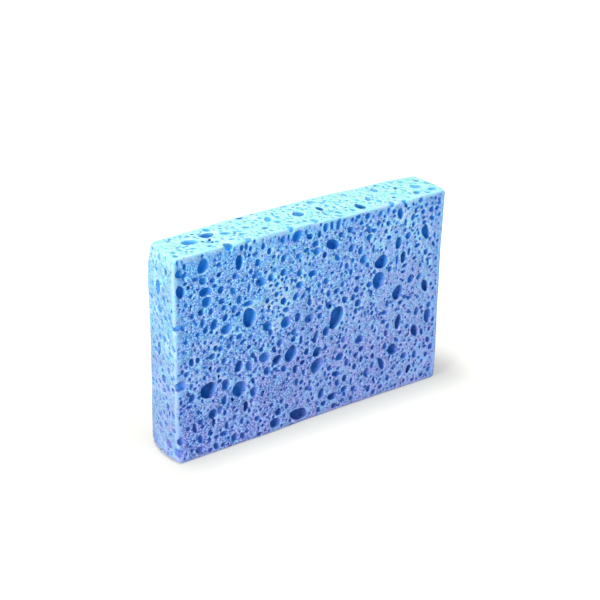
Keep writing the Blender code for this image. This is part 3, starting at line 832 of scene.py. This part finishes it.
class Nodes:
    """Adds and links shader nodes in one node tree."""

    def __init__(self, tree):
        self.tree = tree

    def add(self, kind, inputs=(), **settings):
        node = self.tree.nodes.new(kind)
        for name, value in settings.items():
            setattr(node, name, value)
        for socket, value in dict(inputs).items():
            self.feed(node.inputs[socket], value)
        return node

    def feed(self, socket, value):
        if isinstance(value, bpy.types.NodeSocket):
            self.tree.links.new(value, socket)
        else:
            socket.default_value = value

    def math(self, operation, *values, clamp=False):
        node = self.add("ShaderNodeMath", operation=operation, use_clamp=clamp)
        for socket, value in zip(node.inputs, values):
            self.feed(socket, value)
        return node.outputs[0]

    def times(self, first, *others):
        """The product of two or more values."""
        for other in others:
            first = self.math("MULTIPLY", first, other)
        return first

    def spread(self, value, low, high, to_low=0.0, to_high=1.0):
        """Takes the values from low to high smoothly to those from to_low to to_high."""
        inputs = {"Value": value, "From Min": low, "From Max": high, "To Min": to_low, "To Max": to_high}
        return self.add("ShaderNodeMapRange", inputs, interpolation_type="SMOOTHSTEP").outputs["Result"]

    def mix(self, share, first, second, blend="MIX"):
        node = self.add("ShaderNodeMix", data_type="RGBA", blend_type=blend)
        self.feed(node.inputs[0], share)
        self.feed(node.inputs[6], first)
        self.feed(node.inputs[7], second)
        return node.outputs[2]

    def layers(self, colour, *covers):
        """The colour under others, each given as its share and itself."""
        for share, cover in covers:
            colour = self.mix(share, colour, cover)
        return colour

    def vector(self, operation, *values, output="Vector"):
        node = self.add("ShaderNodeVectorMath", dict(enumerate(values)), operation=operation)
        return node.outputs[output]

    def measure(self, name):
        return self.add("ShaderNodeAttribute", attribute_name=name).outputs["Fac"]


def srgb(red, green, blue):
    """A colour stated in screen values from 0 to 255, as the shader takes it."""
    parts = (c / 255 for c in (red, green, blue))
    return tuple(c / 12.92 if c <= 0.04045 else ((c + 0.055) / 1.055) ** 2.4 for c in parts) + (1.0,)


# Colours at the foot and at the top of the block, which blend into each other in between. The paler, more
# cyan top ones are partly the sponge's own tone and partly painted light, the top being lit more.
TONES = {
    "dark_skin": (srgb(84, 110, 196), srgb(80, 148, 238)),
    "even_skin": (srgb(136, 147, 220), srgb(132, 176, 246)),
    "pale_skin": (srgb(168, 194, 248), srgb(166, 234, 255)),
    # The left side's paler, greener skin is painted light: that side is lit more than the front
    "lit_left_skin": (srgb(148, 180, 214), srgb(154, 212, 218)),
    # The pores' colours come as lit copies and as copies with painted shade for their left and lower walls
    "lit_shallow": (srgb(124, 144, 222), srgb(92, 168, 240)),
    "shaded_shallow": (srgb(44, 106, 196), srgb(30, 130, 218)),
    "lit_deep": (srgb(70, 116, 202), srgb(44, 160, 240)),
    "shaded_deep": (srgb(4, 86, 160), srgb(4, 122, 208)),
    # Painted shade in the deepest hollows
    "deepest_shade": (srgb(2, 76, 148), srgb(2, 106, 190)),
    # Painted highlight on thin rims
    "rim_highlight": (srgb(156, 188, 246), srgb(190, 238, 255)),
    "margin": (srgb(126, 158, 238), srgb(96, 166, 242)),
    # Painted highlight along the front's edges, where the rounding catches the light
    "edge": (srgb(172, 200, 246), srgb(184, 238, 250)),
    "pit": (srgb(30, 74, 172), srgb(22, 108, 206)),
}
# Paler skin towards the right end, painted light
LIT_RIGHT_SKIN = srgb(182, 204, 254)
# The top's paler, more cyan skin, pores and pits are painted light: the top is lit most
LIT_TOP_SKINS = (srgb(161, 219, 214), srgb(174, 229, 219))
LIT_TOP_PORE_COLOURS = (srgb(122, 206, 230), srgb(88, 176, 232))
LIT_TOP_PIT = srgb(84, 170, 216)
# Darkest painted shade in the deepest hollows, strewn by noise
DEEP_SHADE = srgb(4, 42, 104)
# Violet painted shade under the pores' roofs
ROOF_SHADE = srgb(90, 104, 194)
# Violet painted shade along the foot, by the floor, and its darker pits
FOOT_SHADE = srgb(134, 116, 190)
FOOT_SHADE_PIT = srgb(58, 44, 108)
TINTS = ((0.86, 1.03, 1.0, 1.0), (1.14, 0.965, 0.99, 1.0))

# Pits, coarse, medium and fine: cells for each metre, and least and greatest radius in cells. Then
# how far they push the surface in, in metres, and how strongly each kind does
PITS = [(720.0, -0.45, 0.34), (1300.0, -0.15, 0.34), (2200.0, -0.05, 0.38)]
PIT_DEPTH = 0.0003
PIT_HEIGHTS = (-1.0, -0.6, -0.3)


class FoamLooks(Nodes):
    """Colour and relief of the foam, from its measures and from where each point is.

    Heights and places across are in metres, depths below the faces are in millimetres.
    """

    def __init__(self, tree):
        super().__init__(tree)
        self.place = self.add("ShaderNodeTexCoord").outputs["Object"]
        self.across, _, self.height = self.add("ShaderNodeSeparateXYZ", {"Vector": self.place}).outputs
        self.top, self.left, self.depth = map(self.measure, ("top_share", "left_share", "depth"))
        self.pored = self.spread(self.depth, 0.12, 0.65)
        unpored = self.spread(self.depth, 0.6, 0.1)
        self.margin = self.times(self.measure("margin_share"), unpored)
        self.edge = self.times(self.measure("edge_share"), unpored)
        self.cyan = self.cyan_share()
        self.tones = {name: self.mix(self.cyan, *pair) for name, pair in TONES.items()}

    def noise(self, scale, detail, *ends):
        """Noise by its scale for each metre, its middle values spread to the ends."""
        inputs = {"Vector": self.place, "Scale": scale, "Detail": detail}
        return self.spread(self.add("ShaderNodeTexNoise", inputs).outputs["Fac"], *ends)

    def pits(self, scale, least, greatest):
        """One inside small pits, their radii strewn from least to greatest as shares of a cell."""
        cells = self.add("ShaderNodeTexVoronoi", {"Vector": self.place, "Scale": scale}).outputs
        share = self.add("ShaderNodeSeparateColor", {"Color": cells["Color"]}).outputs["Red"]
        radius = self.math("MULTIPLY_ADD", share, greatest - least, least)
        return self.spread(self.math("SUBTRACT", radius, cells["Distance"]), -0.06, 0.06)

    def cyan_share(self):
        """How far a point has the colours of the top of the block, and not those of its foot: rising with
        height and falling a little to the right, partly its own tone and partly painted light.
        """
        clouds = self.noise(60.0, 3.0, 0.35, 0.65, -0.1, 0.1)
        specks = self.noise(900.0, 1.0, 0.35, 0.65, -0.1, 0.1)
        share = self.math("ADD", self.spread(self.height, 0.0, 0.080), clouds)
        share = self.math("SUBTRACT", share, self.spread(self.across, -0.05, 0.05, 0.0, 0.12))
        return self.math("ADD", share, specks, clamp=True)

    def skin(self):
        grain = self.noise(1500.0, 2.0, 0.36, 0.62)
        return self.layers(
            self.tones["dark_skin"],
            (self.spread(grain, 0.0, 0.5), self.tones["even_skin"]),
            (self.spread(grain, 0.55, 1.0), self.tones["pale_skin"]),
            (self.spread(self.across, -0.05, 0.05, 0.0, 0.38), LIT_RIGHT_SKIN),
            (self.times(self.left, 0.6), self.tones["lit_left_skin"]),
            (self.top, self.mix(grain, *LIT_TOP_SKINS)),
        )

    def with_pores(self, skin):
        """Painted shade on left and lower walls and violet under roofs; deep down darker, partly painted
        shade.
        """
        # Painted shade on the pores' left and lower walls
        shaded_side = self.spread(self.measure("shaded_side"), 0.2, 0.85)
        shallow = self.mix(shaded_side, self.tones["lit_shallow"], self.tones["shaded_shallow"])
        deep = self.mix(shaded_side, self.tones["lit_deep"], self.tones["shaded_deep"])
        deep_shade_share = self.noise(170.0, 0.0, 0.5, 0.7, 0.0, 0.8)
        deepest_shade = self.mix(deep_shade_share, self.tones["deepest_shade"], DEEP_SHADE)
        shade_under_roof = self.spread(self.measure("roof"), 0.5, 0.85)
        lit_top_pore = self.mix(self.spread(self.depth, 0.5, 1.8), *LIT_TOP_PORE_COLOURS)
        return self.layers(
            skin,
            (self.pored, shallow),
            # Darker with depth: partly the pores' own deeper blue, partly painted shade
            (self.spread(self.depth, 0.55, 1.9), deep),
            (self.spread(self.measure("far_solid"), 0.68, 0.92, 0.0, 0.8), deepest_shade),
            (self.times(shade_under_roof, self.pored, self.spread(self.cyan, 0.3, 1.0, 0.3, 0.05)), ROOF_SHADE),
            (self.times(self.top, self.pored, 0.8), lit_top_pore),
            (self.times(self.left, 0.15), skin),
        )

    def with_edges(self, colour):
        """Painted highlights on thin rims and along the front's edges, and paler in its margin."""
        rim_highlight_share = self.spread(self.measure("near_solid"), 0.41, 0.3, 0.0, 0.9)
        return self.layers(
            colour,
            (rim_highlight_share, self.tones["rim_highlight"]),
            (self.times(self.margin, 0.4), self.tones["margin"]),
            (self.times(self.edge, 0.7), self.tones["edge"]),
        )

    def with_pits(self, colour, coarse, medium, fine):
        """Small dark pits, fainter on the top and near the edges, and violet painted shade at the foot, by
        the floor.
        """
        smooth = self.math("MAXIMUM", self.top, self.edge)
        smooth = self.math("MAXIMUM", smooth, self.times(self.margin, 0.5))
        fainter = self.math("SUBTRACT", 1.0, self.times(smooth, 0.8))
        foot_shade = self.spread(self.height, 0.0035, 0.0)
        pit = self.mix(foot_shade, self.mix(self.top, self.tones["pit"], LIT_TOP_PIT), FOOT_SHADE_PIT)
        large = self.times(self.math("MAXIMUM", coarse, medium), 0.8, fainter)
        return self.layers(
            colour, (self.times(foot_shade, 0.3), FOOT_SHADE), (large, pit), (self.times(fine, 0.45, fainter), pit)
        )

    def relief(self, coarse, medium, fine):
        """The normal, pushed in where the pits are, less so on the top."""
        height = self.math("MULTIPLY_ADD", coarse, PIT_HEIGHTS[0], self.times(medium, PIT_HEIGHTS[1]))
        height = self.math("MULTIPLY_ADD", fine, PIT_HEIGHTS[2], height)
        strength = self.math("MULTIPLY_ADD", self.top, -0.35, 0.6)
        inputs = {"Height": height, "Strength": strength, "Distance": PIT_DEPTH}
        return self.add("ShaderNodeBump", inputs).outputs["Normal"]


def foam_material():
    material = bpy.data.materials.new("blue_cellulose")
    material.use_nodes = True
    looks = FoamLooks(material.node_tree)
    pits = [looks.pits(*row) for row in PITS]
    colour = looks.with_pits(looks.with_edges(looks.with_pores(looks.skin())), *pits)
    tint = looks.mix(looks.noise(360.0, 1.0, 0.34, 0.66), *TINTS)
    colour = looks.mix(1.0, colour, tint, blend="MULTIPLY")
    shader = material.node_tree.nodes["Principled BSDF"]
    looks.feed(shader.inputs["Base Color"], colour)
    looks.feed(shader.inputs["Normal"], looks.relief(*pits))
    shader.inputs["Roughness"].default_value = 0.85
    shader.inputs["Specular IOR Level"].default_value = 0.25
    return material


def white_for_camera(nodes):
    """One where a ray comes from the camera, a mirror or glass, and nothing anywhere else."""
    path = nodes.add("ShaderNodeLightPath").outputs
    seen = nodes.math("MAXIMUM", path["Is Camera Ray"], path["Is Glossy Ray"])
    return nodes.math("MAXIMUM", seen, path["Is Transmission Ray"])


# The floor lies this far under the sponge, so that the two don't share a plane. Its glow grows between
# two distances from the sponge, from weak, where the soft shade is, to full. Lengths are in metres.
FLOOR_GAP = 0.00002
FLOOR_HALF = 1.5
FLOOR_COLOUR = (0.44, 0.43, 0.375, 1.0)
FLOOR_GLOW = (0.0, 0.06, 0.43, 0.92)
WHITE = (1.0, 1.0, 1.0, 1.0)


def emptied(owner):
    """The node tree of a material or world, emptied."""
    owner.use_nodes = True
    owner.node_tree.nodes.clear()
    return Nodes(owner.node_tree)


def make_floor():
    bm = bmesh.new()
    bmesh.ops.create_grid(bm, x_segments=1, y_segments=1, size=FLOOR_HALF)
    mesh = bpy.data.meshes.new("floor")
    bm.to_mesh(mesh)
    bm.free()
    floor = bpy.data.objects.new("floor", mesh)
    floor.location.z = -FLOOR_GAP
    bpy.context.scene.collection.objects.link(floor)
    material = bpy.data.materials.new("white_floor")
    nodes = emptied(material)
    paper = nodes.add("ShaderNodeBsdfDiffuse", {"Color": FLOOR_COLOUR})
    glow = nodes.add("ShaderNodeEmission", {"Color": WHITE})
    place = nodes.add("ShaderNodeTexCoord").outputs["Object"]
    half_x, half_y, _ = (float(h) * MM for h in (BLOCK_HIGH - BLOCK_LOW) / 2)
    away = nodes.vector("ABSOLUTE", place)
    away = nodes.vector("SUBTRACT", away, (half_x, half_y, 0.0))
    away = nodes.vector("LENGTH", nodes.vector("MAXIMUM", away), output="Value")
    strength = nodes.spread(away, *FLOOR_GLOW)
    nodes.feed(glow.inputs["Strength"], nodes.times(white_for_camera(nodes), strength))
    both = nodes.add("ShaderNodeAddShader")
    nodes.feed(both.inputs[0], paper.outputs[0])
    nodes.feed(both.inputs[1], glow.outputs[0])
    output = nodes.add("ShaderNodeOutputMaterial")
    nodes.feed(output.inputs["Surface"], both.outputs[0])
    mesh.materials.append(material)


def make_world():
    world = bpy.data.worlds.new("studio")
    bpy.context.scene.world = world
    nodes = emptied(world)
    seen = white_for_camera(nodes)
    soft = nodes.add("ShaderNodeBackground", {"Color": srgb(232, 240, 255), "Strength": 0.42})
    white = nodes.add("ShaderNodeBackground", {"Color": WHITE, "Strength": 1.0})
    both = nodes.add("ShaderNodeMixShader")
    nodes.feed(both.inputs[0], seen)
    nodes.feed(both.inputs[1], soft.outputs[0])
    nodes.feed(both.inputs[2], white.outputs[0])
    output = nodes.add("ShaderNodeOutputWorld")
    nodes.feed(output.inputs["Surface"], both.outputs[0])


# Lamps: name, place and size in metres, power and colour
LAMPS = [
    ("key", (-0.08, 0.04, 1.0), 0.2, 7.2, (1.0, 1.0, 1.0)),
    ("side", (-0.95, -0.30, 0.24), 0.3, 7.6, (1.0, 0.99, 0.95)),
    ("fill", (0.20, -0.95, 0.26), 0.5, 2.68, (0.76, 0.93, 1.0)),
]
LAMP_TARGET = (0, 0, 0.04)


def aim(thing, target):
    thing.rotation_mode = "QUATERNION"
    thing.rotation_quaternion = (Vector(target) - thing.location).to_track_quat("-Z", "Y")


def add_lamp(name, place, size, power, colour):
    lamp = bpy.data.lights.new(name, "AREA")
    lamp.shape = "DISK"
    lamp.size = size
    lamp.energy = power
    lamp.color = colour
    thing = bpy.data.objects.new(name, lamp)
    thing.location = place
    bpy.context.scene.collection.objects.link(thing)
    aim(thing, LAMP_TARGET)


# The camera stands so that the block's edges fall where the photograph has them
CAMERA_TARGET = Vector((0.0001, 0.0, 0.04578))
CAMERA_AZIMUTH = -33.66
CAMERA_ELEVATION = 27.75
CAMERA_ROLL = 0.80
CAMERA_DISTANCE = 0.5995
CAMERA_LENS = 98.35


def make_camera():
    camera = bpy.data.cameras.new("camera")
    camera.lens = CAMERA_LENS
    camera.sensor_width = 36
    camera.clip_start = 0.01
    thing = bpy.data.objects.new("camera", camera)
    azimuth, elevation = math.radians(CAMERA_AZIMUTH), math.radians(CAMERA_ELEVATION)
    flat = math.cos(elevation)
    back = Vector((math.sin(azimuth) * flat, -math.cos(azimuth) * flat, math.sin(elevation)))
    thing.location = CAMERA_TARGET + back * CAMERA_DISTANCE
    thing.rotation_mode = "QUATERNION"
    roll = Matrix.Rotation(math.radians(CAMERA_ROLL), 3, "Z").to_quaternion()
    thing.rotation_quaternion = (-back).to_track_quat("-Z", "Y") @ roll
    bpy.context.scene.collection.objects.link(thing)
    bpy.context.scene.camera = thing


def main():
    make_camera()
    make_world()
    make_floor()
    for lamp in LAMPS:
        add_lamp(*lamp)

    foam = foam_object()
    foam.data.materials.append(foam_material())
    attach(foam, "root")
    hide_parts("sponge")

    bpy.context.scene.view_settings.view_transform = "Standard"


main()
